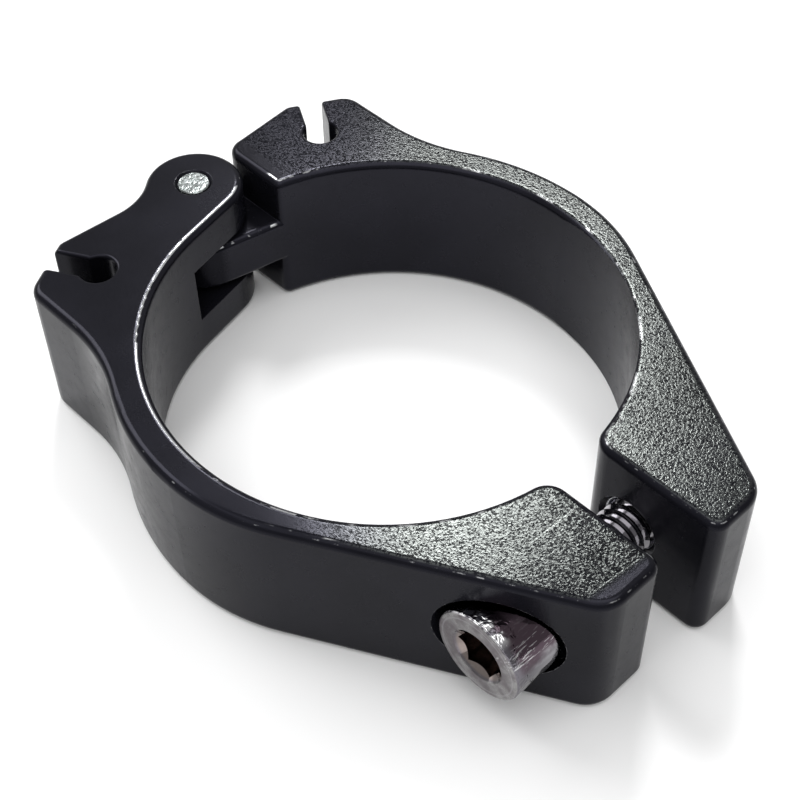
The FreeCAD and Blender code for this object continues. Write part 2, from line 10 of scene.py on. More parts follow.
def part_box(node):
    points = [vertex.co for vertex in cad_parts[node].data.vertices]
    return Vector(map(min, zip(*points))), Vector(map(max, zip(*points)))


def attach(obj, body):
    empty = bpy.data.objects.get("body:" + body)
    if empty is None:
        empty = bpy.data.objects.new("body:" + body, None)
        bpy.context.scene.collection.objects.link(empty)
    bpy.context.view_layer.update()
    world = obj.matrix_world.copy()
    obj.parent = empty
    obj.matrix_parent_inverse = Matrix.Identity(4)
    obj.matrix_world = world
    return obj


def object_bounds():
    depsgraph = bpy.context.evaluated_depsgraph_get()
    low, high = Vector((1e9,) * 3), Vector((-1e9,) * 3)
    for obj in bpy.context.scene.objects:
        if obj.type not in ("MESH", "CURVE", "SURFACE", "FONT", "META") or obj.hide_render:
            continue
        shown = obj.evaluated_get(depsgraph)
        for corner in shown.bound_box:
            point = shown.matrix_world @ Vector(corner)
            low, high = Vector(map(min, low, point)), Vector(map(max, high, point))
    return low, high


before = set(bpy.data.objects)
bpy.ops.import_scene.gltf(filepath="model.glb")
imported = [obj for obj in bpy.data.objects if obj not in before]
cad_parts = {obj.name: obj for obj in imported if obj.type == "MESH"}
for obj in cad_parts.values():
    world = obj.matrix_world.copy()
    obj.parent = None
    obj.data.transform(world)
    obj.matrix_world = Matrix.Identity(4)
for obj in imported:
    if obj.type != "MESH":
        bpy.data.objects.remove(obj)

bl_info = {
    "name": "Seatpost clamp finish",
    "version": (1, 0, 0),
    "blender": (4, 5, 0),
    "location": "View3D > Sidebar > Clamp",
    "description": "Coats, plates and threads the parts of a seatpost clamp and lights them",
    "category": "Object",
}

CAD_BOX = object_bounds()
MM = 0.001
JAWS = ("bolt_side_jaw", "thread_side_jaw")

# Lengths in millimetres
HALF_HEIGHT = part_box("bolt_side_jaw")[1].z / MM
TONGUE_HALF_HEIGHT = 2.5
BOLT_LOW, BOLT_HIGH = (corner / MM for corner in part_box("clamp_bolt"))
BOLT_X = (BOLT_LOW.x + BOLT_HIGH.x) / 2
RIM_LINE_RADIUS = 3.72
EDGE_RADIUS = 0.12
RIM_DENT_DEPTH = 0.16
TURNED_LINE_DEPTH = 0.01
PIN_DENT_DEPTH = 0.08
FLOOR_GAP = 0.01
SENSOR_WIDTH = 36.0

# Patches of edge wear and scratches in each millimetre
EDGE_BREAKS = 1.6
BOLT_SCRATCHES = 4.5
PIN_SCRATCHES = 3.0

# How bare a worn edge or a painted edge glint is, and how strongly a lug scratch shines
EDGE_WEAR = 0.4
SCRATCH_SHINE = 0.6

# Share of y in the slanted direction along which the wrinkles change, and change of x with y at the lug's end
SLANT = 0.94
LUG_END_SLOPE = 0.089

# Long scratches across the near lug: x where y is 0, change of x with y, and both ends in y
LUG_SCRATCHES = ((24.55, 0.036, -8.85, -3.36), (31.32, 0.089, -9.41, -3.47))

# The thread's half widths at foot and crest and the fading of its ends, as shares of the pitch
FOOT_SHARE = 0.46
CREST_SHARE = 0.07
FADE_SHARE = 0.35

# The floor's radius in metres, its corners and its roughness
FLOOR_RADIUS = 3.0
FLOOR_CORNERS = 96
FLOOR_ROUGHNESS = 0.7

# Nearest and farthest distance that the camera sees, in metres
CLIP_NEAR = 0.005
CLIP_FAR = 20.0

# Lamps: name, place in metres, width and height in metres, power in watts
LAMPS = (
    ("back_softbox", (-0.585, 0.624, 0.975), (0.28, 0.28), 7.8),
    ("left_panel", (-0.75, -0.10, 0.75), (0.6, 0.6), 5.2),
    ("top_panel", (0.22, -0.22, 1.0), (1.2, 1.2), 7.4),
)


class CoatSettings(bpy.types.PropertyGroup):
    """Black coat of the two jaws."""
    colour: FloatVectorProperty(
        name="Coat", description="Colour of the coat", subtype="COLOR",
        size=4, min=0.0, max=1.0, default=(0.0052, 0.0052, 0.0072, 1.0))
    # Also the colour of the painted glints and highlights along edges and the tongue's rim.
    bare: FloatVectorProperty(
        name="Bare metal", description="Aluminium that shows where the coat has worn off", subtype="COLOR",
        size=4, min=0.0, max=1.0, default=(0.62, 0.63, 0.64, 1.0))
    grain_density: FloatProperty(
        name="Grain density", description="Wrinkles in each millimetre of the level faces",
        min=0.5, max=10.0, default=5.2)
    grain_depth: FloatProperty(
        name="Grain depth", description="Depth of the wrinkles", subtype="DISTANCE", unit="LENGTH",
        min=0.0, max=0.001, default=0.000015, precision=6)
    wall_tint: FloatVectorProperty(
        name="Wall tint", description="Tint of what the walls mirror", subtype="COLOR",
        size=4, min=0.0, max=1.0, default=(0.74, 0.73, 0.95, 1.0))
    grain_tint: FloatVectorProperty(
        name="Grain tint", description="Tint of what the wrinkles mirror", subtype="COLOR",
        size=4, min=0.0, max=1.0, default=(0.93, 1.0, 0.95, 1.0))


class MetalSettings(bpy.types.PropertyGroup):
    """Bare and plated steel."""
    plating: FloatVectorProperty(
        name="Plating", description="Colour of the bolt's plating", subtype="COLOR",
        size=4, min=0.0, max=1.0, default=(0.40, 0.39, 0.41, 1.0))
    # Painted shade: a darker colour than the plating for the head's side, standing in for the dark
    # surroundings that the side mirrors.
    shaded_head_side: FloatVectorProperty(
        name="Head side", description="Colour of the side of the bolt's head", subtype="COLOR",
        size=4, min=0.0, max=1.0, default=(0.125, 0.117, 0.135, 1.0))
    face: FloatVectorProperty(
        name="Face", description="Colour of the duller face of the bolt's head", subtype="COLOR",
        size=4, min=0.0, max=1.0, default=(0.27, 0.265, 0.265, 1.0))
    # Used for random dull clouds on the face, and as painted shade on the upper side of the head.
    tarnish_and_shade: FloatVectorProperty(
        name="Tarnish", description="Colour of the bolt's darker patches", subtype="COLOR",
        size=4, min=0.0, max=1.0, default=(0.080, 0.058, 0.072, 1.0))
    socket: FloatVectorProperty(
        name="Socket", description="Colour inside the bolt's socket", subtype="COLOR",
        size=4, min=0.0, max=1.0, default=(0.26, 0.22, 0.205, 1.0))
    # Also the colour of the painted highlight patches on the head's rim.
    scuff_and_highlight: FloatVectorProperty(
        name="Scuff", description="Colour of bare steel in scratches", subtype="COLOR",
        size=4, min=0.0, max=1.0, default=(0.85, 0.85, 0.86, 1.0))
    pin: FloatVectorProperty(
        name="Pin", description="Colour of the pin's steel", subtype="COLOR",
        size=4, min=0.0, max=1.0, default=(0.27, 0.295, 0.29, 1.0))
    dull_pin: FloatVectorProperty(
        name="Dull pin", description="Colour of the pin's duller patches", subtype="COLOR",
        size=4, min=0.0, max=1.0, default=(0.16, 0.17, 0.17, 1.0))


class ThreadSettings(bpy.types.PropertyGroup):
    """Thread of the bolt, in millimetres."""
    pitch: FloatProperty(
        name="Pitch", description="Distance from one turn to the next, in millimetres",
        min=0.2, max=3.0, default=0.8)
    crest_radius: FloatProperty(
        name="Crest radius", description="Radius at the top of the ridge, in millimetres",
        min=1.0, max=10.0, default=2.44)
    root_radius: FloatProperty(
        name="Root radius", description="Radius of the ridge's foot, just inside the shank, in millimetres",
        min=1.0, max=10.0, default=2.0)
    start: FloatProperty(
        name="Start", description="Distance of the first turn from the bolt's tip, in millimetres",
        min=0.0, max=10.0, default=0.75)
    length: FloatProperty(
        name="Length", description="Length of the threaded run, in millimetres",
        min=1.0, max=100.0, default=14.4)
    steps: IntProperty(
        name="Steps", description="Steps in one turn", min=12, max=96, default=48)
    hole_radius: FloatProperty(
        name="Hole radius", description="Radius of the tapped hole, in millimetres",
        min=1.0, max=10.0, default=2.5)
    lean: FloatProperty(
        name="Lean", description="Angle by which the closing jaw leans on the thread's hinge side",
        subtype="ANGLE", min=0.0, max=0.2, default=math.radians(2.5))
    lean_start: FloatProperty(
        name="Lean start", description="Place along the bolt where the leaning begins, in millimetres",
        min=-50.0, max=50.0, default=-2.9)


class StageSettings(bpy.types.PropertyGroup):
    """Floor, lights and camera."""
    floor: FloatVectorProperty(
        name="Floor", description="Colour of the floor", subtype="COLOR",
        size=4, min=0.0, max=1.0, default=(0.90, 0.90, 0.90, 1.0))
    air: FloatProperty(
        name="Air", description="Strength of the light from all round", min=0.0, max=5.0, default=0.47)
    camera_place: FloatVectorProperty(
        name="Camera", description="Where the camera stands", subtype="TRANSLATION", unit="LENGTH",
        size=3, default=(0.06903, -0.06430, 0.10479))
    camera_aim: FloatVectorProperty(
        name="Aim", description="Direction in which the camera looks", subtype="DIRECTION",
        size=3, default=(-0.4787, 0.4543, -0.7513))
    camera_roll: FloatProperty(
        name="Roll", description="Turn of the camera about its aim", subtype="ANGLE",
        default=math.radians(-1.19))
    lens: FloatProperty(
        name="Lens", description="Focal length on a 36 mm sensor, in millimetres",
        min=10.0, max=300.0, default=71.19)


class NodeSheet:
    """Adds nodes to one material or node group, and links or sets what feeds them."""

    def __init__(self, tree):
        self.tree = tree

    def add(self, kind, inputs=None, **settings):
        node = self.tree.nodes.new(kind)
        for name, value in settings.items():
            setattr(node, name, value)
        for name, value in (inputs or {}).items():
            self.feed(node.inputs[name], value)
        return node

    def feed(self, socket, value):
        if isinstance(value, bpy.types.NodeSocket):
            self.tree.links.new(value, socket)
        else:
            socket.default_value = value

    def math(self, operation, *values):
        node = self.add("ShaderNodeMath", operation=operation)
        for socket, value in zip(node.inputs, values):
            self.feed(socket, value)
        return node.outputs["Value"]

    def product(self, result, *others):
        """Several values multiplied."""
        for value in others:
            result = self.math("MULTIPLY", result, value)
        return result

    def largest(self, result, *others):
        """The largest of several values."""
        for value in others:
            result = self.math("MAXIMUM", result, value)
        return result

    def without(self, mask):
        """A mask turned over."""
        return self.math("SUBTRACT", 1.0, mask)

    def vector(self, operation, *values):
        node = self.add("ShaderNodeVectorMath", operation=operation)
        for socket, value in zip(node.inputs, values):
            self.feed(socket, value)
        return node.outputs["Value" if operation in ("LENGTH", "DOT_PRODUCT") else "Vector"]

    def parts(self, vector):
        return self.add("ShaderNodeSeparateXYZ", {"Vector": vector}).outputs

    def join(self, x, y, z):
        return self.add("ShaderNodeCombineXYZ", {"X": x, "Y": y, "Z": z}).outputs["Vector"]

    def ramp(self, value, low, high, to_low=0.0, to_high=1.0):
        """A smooth step of a value from one level to another."""
        return self.add("ShaderNodeMapRange", {
            "Value": value, "From Min": low, "From Max": high,
            "To Min": to_low, "To Max": to_high}, interpolation_type="SMOOTHSTEP").outputs["Result"]

    def band(self, value, rise, fall):
        """1 between two slopes and 0 beyond them, each slope given from its foot to its top."""
        return self.product(self.ramp(value, *rise), self.ramp(value, *fall))

    def noise(self, vector, scale, detail=2.0, roughness=0.5, distortion=0.0):
        return self.add("ShaderNodeTexNoise", {
            "Vector": vector, "Scale": scale, "Detail": detail,
            "Roughness": roughness, "Distortion": distortion}).outputs["Fac"]

    def mix(self, factor, first, second):
        """A colour between two."""
        return self.between("RGBA", "RGBA", factor, first, second)

    def blend(self, factor, first, second):
        """A number between two."""
        return self.between("FLOAT", "VALUE", factor, first, second)

    def between(self, data_type, socket_type, factor, first, second):
        node = self.add("ShaderNodeMix", data_type=data_type)
        for name, kind, value in (("Factor", "VALUE", factor), ("A", socket_type, first),
                                  ("B", socket_type, second)):
            self.feed(self.find(node.inputs, name, kind), value)
        return self.find(node.outputs, "Result", socket_type)

    def find(self, sockets, name, kind):
        return next(socket for socket in sockets if socket.name == name and socket.type == kind)

    def bump(self, distance, height, normal=None, strength=1.0):
        """The normal that a height gives, on top of another normal if there is one."""
        inputs = {"Strength": strength, "Distance": distance, "Height": height}
        if normal is not None:
            inputs["Normal"] = normal
        return self.add("ShaderNodeBump", inputs).outputs["Normal"]

    def place(self):
        """Object coordinates in millimetres."""
        coordinates = self.add("ShaderNodeTexCoord").outputs["Object"]
        return self.add("ShaderNodeMapping", {
            "Vector": coordinates, "Scale": (1 / MM,) * 3}).outputs["Vector"]

    def use(self, group, inputs):
        return self.add("ShaderNodeGroup", inputs, node_tree=group).outputs


def new_group(name, inputs, outputs):
    """An empty shader node group with float and vector sockets, and its sheet and ends."""
    group = bpy.data.node_groups.new(name, "ShaderNodeTree")
    for socket, kind in inputs.items():
        group.interface.new_socket(socket, in_out="INPUT", socket_type="NodeSocket" + kind)
    for socket, kind in outputs.items():
        group.interface.new_socket(socket, in_out="OUTPUT", socket_type="NodeSocket" + kind)
    sheet = NodeSheet(group)
    entry = sheet.add("NodeGroupInput").outputs
    leave = sheet.add("NodeGroupOutput").inputs
    return group, sheet, entry, leave


def group_called(name, build):
    return bpy.data.node_groups.get(name) or build(name)


def scratches_group(name):
    """Fine straight scratches that cross at two angles, as a mask."""
    group, sheet, entry, leave = new_group(
        name, {"Place": "Vector", "Density": "Float"}, {"Mask": "Float"})
    masks = []
    for turn, stretch in ((0.5, 8.0), (-0.9, 6.0)):
        turned = sheet.add("ShaderNodeMapping", {
            "Vector": entry["Place"], "Rotation": (turn, 0.3 * turn, turn),
            "Scale": (1.0, 1.0 / stretch, 1.0)}).outputs["Vector"]
        streak = sheet.noise(turned, entry["Density"], 3.0, 0.6)
        masks.append(sheet.ramp(streak, 0.60, 0.66))
    sheet.feed(leave["Mask"], sheet.largest(*masks))
    return group


def edge_group(name):
    """How far a point is worn as an edge: the rounded normal against the true one, broken up by noise."""
    group, sheet, entry, leave = new_group(
        name, {"Place": "Vector", "Radius": "Float", "Breaks": "Float"},
        {"Mask": "Float", "Normal": "Vector"})
    rounded = sheet.add("ShaderNodeBevel", {"Radius": entry["Radius"]}, samples=6).outputs["Normal"]
    true_normal = sheet.add("ShaderNodeNewGeometry").outputs["Normal"]
    bend = sheet.without(sheet.vector("DOT_PRODUCT", rounded, true_normal))
    gaps = sheet.noise(entry["Place"], entry["Breaks"], 3.0, 0.6)
    mask = sheet.product(sheet.ramp(bend, 0.02, 0.16), sheet.ramp(gaps, 0.45, 0.62))
    sheet.feed(leave["Mask"], mask)
    sheet.feed(leave["Normal"], rounded)
    return group


def new_material(name):
    material = bpy.data.materials.new(name)
    material.use_nodes = True
    material.node_tree.nodes.clear()
    sheet = NodeSheet(material.node_tree)
    shader = sheet.add("ShaderNodeBsdfPrincipled")
    sheet.add("ShaderNodeOutputMaterial", {"Surface": shader.outputs["BSDF"]})
    return material, sheet, shader


class JawPlaces:
    """Where a point lies on the jaws: lengths in millimetres, and masks."""

    def __init__(self, sheet):
        self.place = sheet.place()
        self.x, self.y, self.z = sheet.parts(self.place)
        height = sheet.math("ABSOLUTE", self.z)
        self.drop = sheet.math("SUBTRACT", HALF_HEIGHT, height)
        self.level = sheet.ramp(height, HALF_HEIGHT - 0.12, HALF_HEIGHT - 0.01)
        self.radius = sheet.vector("LENGTH", sheet.join(self.x, self.y, 0.0))
        self.bore_side = sheet.ramp(self.radius, 23.2, 23.0)
        self.far_jaw = sheet.ramp(self.y, -0.5, 0.5)
        self.slant = sheet.math("ADD", self.x, sheet.product(self.y, SLANT))
        self.beside_pin = sheet.product(
            sheet.ramp(self.x, -16.0, -17.0), sheet.ramp(sheet.math("ABSOLUTE", self.y), 7.5, 6.5))
        self.inside_hinge = sheet.product(self.beside_pin, sheet.ramp(height, 4.2, 3.8))


def wrinkled_share(sheet, jaw):
    """How wrinkled the level faces are: hardly beside the hinge and on the near lug's end."""
    past_hinge = sheet.ramp(jaw.slant, -10.5, 4.5, 0.05, 1.0)
    end_line = sheet.math("SUBTRACT", jaw.x, sheet.product(jaw.y, LUG_END_SLOPE))
    before_end = sheet.largest(sheet.ramp(end_line, 31.9, 31.2, 0.12, 1.0), jaw.far_jaw)
    return sheet.product(past_hinge, before_end, jaw.level)


def lip_wear_and_highlight(sheet, jaw):
    """Bare metal along the bore's upper and lower lip, most of it near the hinge: partly wear, partly a
    painted highlight along the lip's rounded edge.
    """
    lip = sheet.band(jaw.drop, (0.004, 0.02), (0.075, 0.04))
    hinge_run = sheet.product(sheet.ramp(jaw.x, 4.0, -6.0), sheet.ramp(jaw.y, 4.0, 3.0))
    rub = sheet.math("ADD", sheet.noise(jaw.place, 0.5, 3.0, 0.6), sheet.product(hinge_run, 0.35))
    specks = sheet.ramp(sheet.noise(jaw.place, 5.0, 2.0, 0.6), 0.32, 0.46)
    return sheet.product(lip, jaw.bore_side, sheet.ramp(rub, 0.52, 0.64), sheet.largest(specks, hinge_run))


def painted_edge_glints(sheet, jaw):
    """Painted glints: bare-metal specks along the outer edge rounds standing in for highlights there, more of
    them on the lugs.
    """
    outer = sheet.product(sheet.band(jaw.drop, (0.09, 0.12), (0.17, 0.14)), sheet.without(jaw.bore_side))
    more_on_lugs = sheet.product(sheet.ramp(jaw.x, 4.0, 14.0), 0.07)
    glint_spots = sheet.math("ADD", sheet.noise(jaw.place, 0.9, 4.0, 0.65), more_on_lugs)
    return sheet.product(outer, sheet.ramp(glint_spots, 0.62, 0.72))


def tongue_glints(sheet, jaw):
    """Bright spots along the upper rim of the hinge tongue, on the side of the bore."""
    drop = sheet.math("SUBTRACT", TONGUE_HALF_HEIGHT, jaw.z)
    rim = sheet.band(drop, (0.06, 0.12), (0.26, 0.20))
    run = sheet.band(jaw.y, (-4.2, -3.4), (5.1, 4.7))
    spots = sheet.ramp(sheet.noise(jaw.place, 1.1, 2.0, 0.5), 0.50, 0.58)
    return sheet.product(rim, jaw.beside_pin, run, jaw.bore_side, spots)


def worn_coat_and_glints(sheet, jaw, edge_mask):
    """Where bare metal shows through the coat, apart from the tapped hole, together with the painted glints
    on the outer edge rounds and the tongue's rim.
    """
    edges = sheet.largest(edge_mask, painted_edge_glints(sheet, jaw))
    edges = sheet.product(edges, sheet.blend(jaw.inside_hinge, EDGE_WEAR, 0.0))
    return sheet.largest(lip_wear_and_highlight(sheet, jaw), edges, tongue_glints(sheet, jaw))


def tapped_hole(sheet, jaw, thread):
    """Where the coat is cut away in the tapped hole, and the height of the grooves there."""
    out_x = sheet.math("SUBTRACT", jaw.x, BOLT_X)
    to_axis = sheet.vector("LENGTH", sheet.join(out_x, 0.0, jaw.z))
    inside = sheet.ramp(to_axis, thread.hole_radius + 0.10, thread.hole_radius + 0.04)
    tapped = sheet.product(inside, sheet.ramp(jaw.y, 0.0, 0.5))
    turn = sheet.product(sheet.math("ARCTAN2", jaw.z, out_x), 0.5 / math.pi)
    winding = sheet.math("ADD", sheet.product(jaw.y, 1 / thread.pitch), turn)
    return tapped, sheet.product(sheet.math("PINGPONG", winding, 0.5), tapped)


def lug_scratches(sheet, jaw):
    """The long scratches across the near lug, as a mask."""
    masks = []
    for across, slope, first, last in LUG_SCRATCHES:
        line = sheet.math("ADD", across, sheet.product(jaw.y, slope))
        aside = sheet.math("ABSOLUTE", sheet.math("SUBTRACT", jaw.x, line))
        run = sheet.band(jaw.y, (first, first + 0.5), (last, last - 0.5))
        masks.append(sheet.product(sheet.ramp(aside, 0.10, 0.03), run))
    return sheet.largest(*masks)


def level_shine(sheet, jaw, wrinkle, share):
    """Specular level of the level faces: high on the wrinkles' tops and low between them.
    How it changes along each jaw was fitted to the brightness in the photo, so it holds some of its light."""
    near_polish = sheet.ramp(jaw.slant, 6.0, 26.0, 1.22, 0.46)
    far_polish = sheet.ramp(jaw.x, 22.0, 30.0, 0.98, 1.4)
    polish = sheet.blend(jaw.far_jaw, near_polish, far_polish)
    wrinkled = sheet.product(sheet.ramp(wrinkle, 0.36, 0.55, 0.04, 0.47), polish)
    near_end = sheet.product(sheet.ramp(jaw.slant, 14.0, 24.0), sheet.without(jaw.far_jaw))
    wrinkled = sheet.blend(near_end, wrinkled, sheet.ramp(wrinkle, 0.47, 0.59, 0.02, 0.44))

    near_smooth = sheet.largest(
        sheet.ramp(jaw.x, -1.0, 8.0, 0.19, 0.07), sheet.ramp(jaw.x, 28.0, 31.0, 0.0, 0.28))
    faint_wrinkles = sheet.ramp(wrinkle, 0.42, 0.56, 0.03, 0.40)
    smooth = sheet.blend(sheet.ramp(jaw.y, 6.0, 8.0), near_smooth, faint_wrinkles)
    scratched = sheet.product(lug_scratches(sheet, jaw), SCRATCH_SHINE)
    return sheet.largest(sheet.blend(share, smooth, wrinkled), scratched)


def black_coat(settings, thread):
    """Satin black coat: wrinkled on the level faces, smooth on walls and rounds, worn along the bore's lips
    and the edges with painted highlights and glints there and on the tongue's rim, and cut away in the tapped
    hole."""
    material, sheet, shader = new_material("black_coated_aluminium")
    jaw = JawPlaces(sheet)
    wrinkle = sheet.noise(jaw.place, settings.grain_density, 1.0, 0.4, 0.7)
    share = wrinkled_share(sheet, jaw)
    edges = sheet.use(group_called("edge_wear", edge_group), {
        "Place": jaw.place, "Radius": EDGE_RADIUS * MM, "Breaks": EDGE_BREAKS})
    tapped, grooves = tapped_hole(sheet, jaw, thread)
    # Bare metal colour: real wear and the tapped hole, and painted highlights and glints on edges and the
    # tongue's rim.
    bare = sheet.largest(worn_coat_and_glints(sheet, jaw, edges["Mask"]), tapped)

    shade = sheet.ramp(sheet.noise(jaw.place, 0.12, 2.0, 0.5), 0.35, 0.65, 0.75, 1.35)
    coat = sheet.vector("MULTIPLY", settings.colour[:3], sheet.join(shade, shade, shade))
    sheet.feed(shader.inputs["Base Color"], sheet.mix(bare, coat, settings.bare))
    sheet.feed(shader.inputs["Metallic"], bare)

    wall_rough = sheet.ramp(sheet.noise(jaw.place, 0.8, 4.0, 0.6), 0.3, 0.7, 0.20, 0.28)
    fine_grain = sheet.noise(jaw.place, settings.grain_density * 3.3, 2.0, 0.5)
    level_rough = sheet.ramp(fine_grain, 0.3, 0.7, 0.12, 0.18)
    sheet.feed(shader.inputs["Roughness"], sheet.blend(jaw.level, wall_rough, level_rough))

    wall_shine = sheet.ramp(jaw.radius, 21.5, 21.8, 0.24, 0.11)
    shine = sheet.blend(jaw.level, wall_shine, level_shine(sheet, jaw, wrinkle, share))
    sheet.feed(shader.inputs["Specular IOR Level"], shine)
    sheet.feed(shader.inputs["Specular Tint"], sheet.mix(share, settings.wall_tint, settings.grain_tint))

    threaded = sheet.bump(thread.pitch * MM, grooves, edges["Normal"])
    grain = sheet.product(wrinkle, share)
    sheet.feed(shader.inputs["Normal"], sheet.bump(settings.grain_depth, grain, threaded))
    return material


class BoltPlaces:
    """Where a point lies on the bolt: lengths in millimetres, the angle about its axis, and masks."""

    def __init__(self, sheet):
        self.place = sheet.place()
        x, y, z = sheet.parts(self.place)
        out_x = sheet.math("SUBTRACT", x, BOLT_X)
        self.radius = sheet.vector("LENGTH", sheet.join(out_x, 0.0, z))
        self.angle = sheet.math("ARCTAN2", z, out_x)
        self.from_face = sheet.math("SUBTRACT", y, BOLT_LOW.y)
        self.side = sheet.ramp(self.radius, 3.95, 4.15)
        self.face = sheet.ramp(self.from_face, 0.12, 0.03)
        self.shank = sheet.ramp(self.from_face, 5.0, 5.3)


def side_colour(sheet, bolt, clouds, settings):
    """The head's side: a darker painted-shade colour near the face, painted shade on its upper part, painted
    highlight patches by its rim, and the plated shank.
    """
    # Painted shade: the head's side is darkened with the tarnish colour on its upper part, where shade and
    # dark reflections fall.
    facing_up = sheet.ramp(sheet.math("ADD", bolt.angle, sheet.product(clouds, 0.6)), 0.45, 0.75)
    painted_top_shade = sheet.product(bolt.side, sheet.ramp(bolt.from_face, 0.3, 1.1), facing_up)
    # Painted shade: near the face the side takes the darker head-side colour, turning to plating towards the
    # jaw.
    plated = sheet.ramp(bolt.from_face, 1.0, 4.2, 0.08, 0.75)
    head = sheet.mix(plated, settings.shaded_head_side, settings.plating)
    head = sheet.mix(painted_top_shade, head, settings.tarnish_and_shade)
    colour = sheet.mix(bolt.shank, head, settings.plating)
    # Painted highlight: bright patches in the scuff colour on the upper side of the head's rim, where the
    # light's reflection falls.
    top = sheet.band(bolt.angle, (0.9, 1.2), (2.4, 1.9))
    patches = sheet.ramp(sheet.noise(bolt.place, 0.9, 2.0, 0.5), 0.42, 0.52)
    painted_rim_highlight = sheet.product(bolt.side, top, patches, sheet.ramp(bolt.from_face, 1.3, 0.8))
    return sheet.mix(painted_rim_highlight, colour, settings.scuff_and_highlight)


def face_colour(sheet, bolt, clouds, settings):
    """The head's face: dull and clouded, with a brighter line near its rim."""
    dull = sheet.mix(sheet.ramp(clouds, 0.35, 0.65, 0.0, 0.7), settings.face, settings.tarnish_and_shade)
    from_line = sheet.math("ABSOLUTE", sheet.math("SUBTRACT", bolt.radius, RIM_LINE_RADIUS))
    return sheet.mix(sheet.ramp(from_line, 0.10, 0.03, 0.0, 0.4), dull, settings.plating)


def plated_steel(settings):
    """Bright plating: dented by the head's rim, turned on its face, scratched on its side, with painted shade
    and painted highlights on its side.
    """
    material, sheet, shader = new_material("bright_plated_steel")
    bolt = BoltPlaces(sheet)
    clouds = sheet.noise(bolt.place, 0.55, 3.0, 0.6)
    scratches = sheet.use(group_called("scratches", scratches_group), {
        "Place": bolt.place, "Density": BOLT_SCRATCHES})["Mask"]
    scuff_band = sheet.band(bolt.angle, (0.35, 0.5), (0.95, 0.75))
    scuffs = sheet.product(scratches, sheet.ramp(scuff_band, 0.0, 1.0, 0.05, 0.45))

    side = side_colour(sheet, bolt, clouds, settings)
    colour = sheet.mix(bolt.face, side, face_colour(sheet, bolt, clouds, settings))
    socket = sheet.product(sheet.ramp(bolt.radius, 2.9, 2.6), sheet.ramp(bolt.from_face, 0.05, 0.3),
                           sheet.without(bolt.shank))
    colour = sheet.mix(socket, colour, settings.socket)
    sheet.feed(shader.inputs["Base Color"], sheet.mix(scuffs, colour, settings.scuff_and_highlight))

    shader.inputs["Metallic"].default_value = 1.0
    smooth = sheet.ramp(clouds, 0.35, 0.65, 0.06, 0.12)
    worn = sheet.math("ADD", sheet.product(bolt.face, 0.20), sheet.product(scuffs, 0.25))
    sheet.feed(shader.inputs["Roughness"], sheet.math("ADD", smooth, worn))

    near_rim = sheet.product(bolt.side, sheet.ramp(bolt.from_face, 2.1, 0.8, 0.06, 1.0),
                             sheet.ramp(bolt.from_face, 0.05, 0.25))
    dents = sheet.product(sheet.noise(bolt.place, 1.3, 2.0, 0.5, 0.8), near_rim)
    rings = sheet.noise(sheet.join(sheet.product(bolt.radius, 4.0), 0.0, 0.0), 1.5, 3.0, 0.6)
    lines = sheet.math("SUBTRACT", sheet.product(rings, bolt.face), scuffs)
    dented = sheet.bump(RIM_DENT_DEPTH * MM, dents)
    sheet.feed(shader.inputs["Normal"], sheet.bump(TURNED_LINE_DEPTH * MM, lines, dented, 0.6))
    return material


def bare_steel(settings):
    """Bright steel, dented and scratched."""
    material, sheet, shader = new_material("bare_steel")
    place = sheet.place()
    dents = sheet.noise(place, 1.9, 2.0, 0.5, 0.4)
    scratches = sheet.use(group_called("scratches", scratches_group), {
        "Place": place, "Density": PIN_SCRATCHES})["Mask"]
    dull = sheet.ramp(dents, 0.35, 0.65)
    sheet.feed(shader.inputs["Base Color"], sheet.mix(dull, settings.pin, settings.dull_pin))

    shader.inputs["Metallic"].default_value = 1.0
    dent_rough = sheet.ramp(dents, 0.3, 0.7, 0.18, 0.34)
    sheet.feed(shader.inputs["Roughness"], sheet.math("ADD", dent_rough, sheet.product(scratches, 0.15)))
    relief = sheet.math("SUBTRACT", dents, sheet.product(scratches, 0.4))
    sheet.feed(shader.inputs["Normal"], sheet.bump(PIN_DENT_DEPTH * MM, relief))
    return material


def dress(node, material):
    """Gives a CAD node its finish."""
    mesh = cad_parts[node].data
    mesh.materials.clear()
    mesh.materials.append(material)


class CLAMP_OT_jaws(bpy.types.Operator):
    """Coat both jaws"""
    bl_idname = "clamp.jaws"
    bl_label = "Jaws"

    def execute(self, context):
        material = black_coat(context.scene.clamp_coat, context.scene.clamp_thread)
        for jaw in JAWS:
            dress(jaw, material)
        return {"FINISHED"}


class CLAMP_OT_pin(bpy.types.Operator):
    """Finish the hinge pin"""
    bl_idname = "clamp.pin"
    bl_label = "Hinge pin"

    def execute(self, context):
        dress("hinge_pin", bare_steel(context.scene.clamp_metal))
        return {"FINISHED"}


class CLAMP_OT_bolt(bpy.types.Operator):
    """Plate the bolt"""
    bl_idname = "clamp.bolt"
    bl_label = "Clamp bolt"

    def execute(self, context):
        dress("clamp_bolt", plated_steel(context.scene.clamp_metal))
        return {"FINISHED"}


